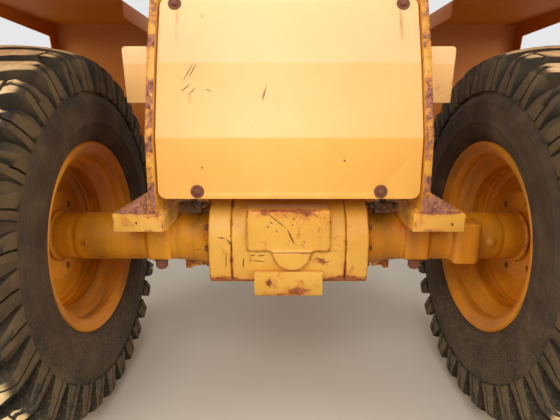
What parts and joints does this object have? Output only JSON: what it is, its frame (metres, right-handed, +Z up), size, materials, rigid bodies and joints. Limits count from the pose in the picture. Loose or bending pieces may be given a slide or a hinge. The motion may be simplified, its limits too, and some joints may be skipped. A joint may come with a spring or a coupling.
{
  "type": "wheel loader front frame section with drive axle and wheels",
  "caption": "Front section of a compact articulated loader: rigid drive axle with two wheels, side plates with tower pivots, bolted cover, mudguards and rear hinge plates.",
  "frame": {"origin": "middle of the lower articulation bore, which carries the section", "axes": "+X to the right, -Y to the pictured front, +Z up along the articulation bores"},
  "size_m": [1.86, 1.5437, 1.5704],
  "materials": {
    "frame_paint": "weathered yellow paint, chipped and rusty at the edges",
    "cover_paint": "yellow paint, scratched",
    "axle_paint": "yellow paint on castings, rusty below",
    "guard_paint": "yellow paint",
    "wheel_paint": "orange-yellow paint, dirty",
    "worn_steel": "rusty steel",
    "tyre_rubber": "dusty rubber"
  },
  "bodies": {
    "front_frame": {"side_plate_right": "frame_paint", "side_plate_left": "frame_paint", "boom_pivot_boss_right": "frame_paint", "boom_pivot_boss_left": "frame_paint", "lift_pivot_boss_right": "frame_paint", "lift_pivot_boss_left": "frame_paint", "cover_panel": "cover_paint", "cover_tabs": "frame_paint", "axle_pad_right": "frame_paint", "axle_pad_left": "frame_paint", "front_cross_member": "frame_paint", "tower_cross_tube": "frame_paint", "tilt_cylinder_lugs": "frame_paint", "rear_bulkhead": "frame_paint", "lower_hinge_plate": "frame_paint", "upper_hinge_plate": "frame_paint", "steering_lug_right": "frame_paint", "steering_lug_left": "frame_paint", "side_lug_right": "cover_paint", "side_lug_left": "cover_paint", "mudguard_right": "guard_paint", "mudguard_left": "guard_paint", "mudguard_brackets_right": "guard_paint", "mudguard_brackets_left": "guard_paint", "axle_centre_housing": "axle_paint", "drum_ring_right": "axle_paint", "drum_ring_left": "axle_paint", "axle_arm_right": "axle_paint", "axle_arm_left": "axle_paint", "axle_bolts": "worn_steel", "jacking_foot": "axle_paint", "pinion_carrier": "axle_paint"},
    "wheel_right": {"hub_right": "wheel_paint", "rim_right": "wheel_paint", "tyre_right": "tyre_rubber"},
    "wheel_left": {"hub_left": "wheel_paint", "rim_left": "wheel_paint", "tyre_left": "tyre_rubber"},
    "drive_flange": {"input_flange": "worn_steel"}
  },
  "joints": [
    {"name": "wheel_right_spin", "type": "hinge", "parent": "front_frame", "child": "wheel_right", "pos_m": [0.741, -0.9, 0.08], "axis": [1, 0, 0], "continuous": true},
    {"name": "wheel_left_spin", "type": "hinge", "parent": "front_frame", "child": "wheel_left", "pos_m": [-0.741, -0.9, 0.08], "axis": [1, 0, 0], "continuous": true},
    {"name": "drive_flange_spin", "type": "hinge", "parent": "front_frame", "child": "drive_flange", "pos_m": [0, -0.6, 0.08], "axis": [0, 1, 0], "continuous": true}
  ]
}
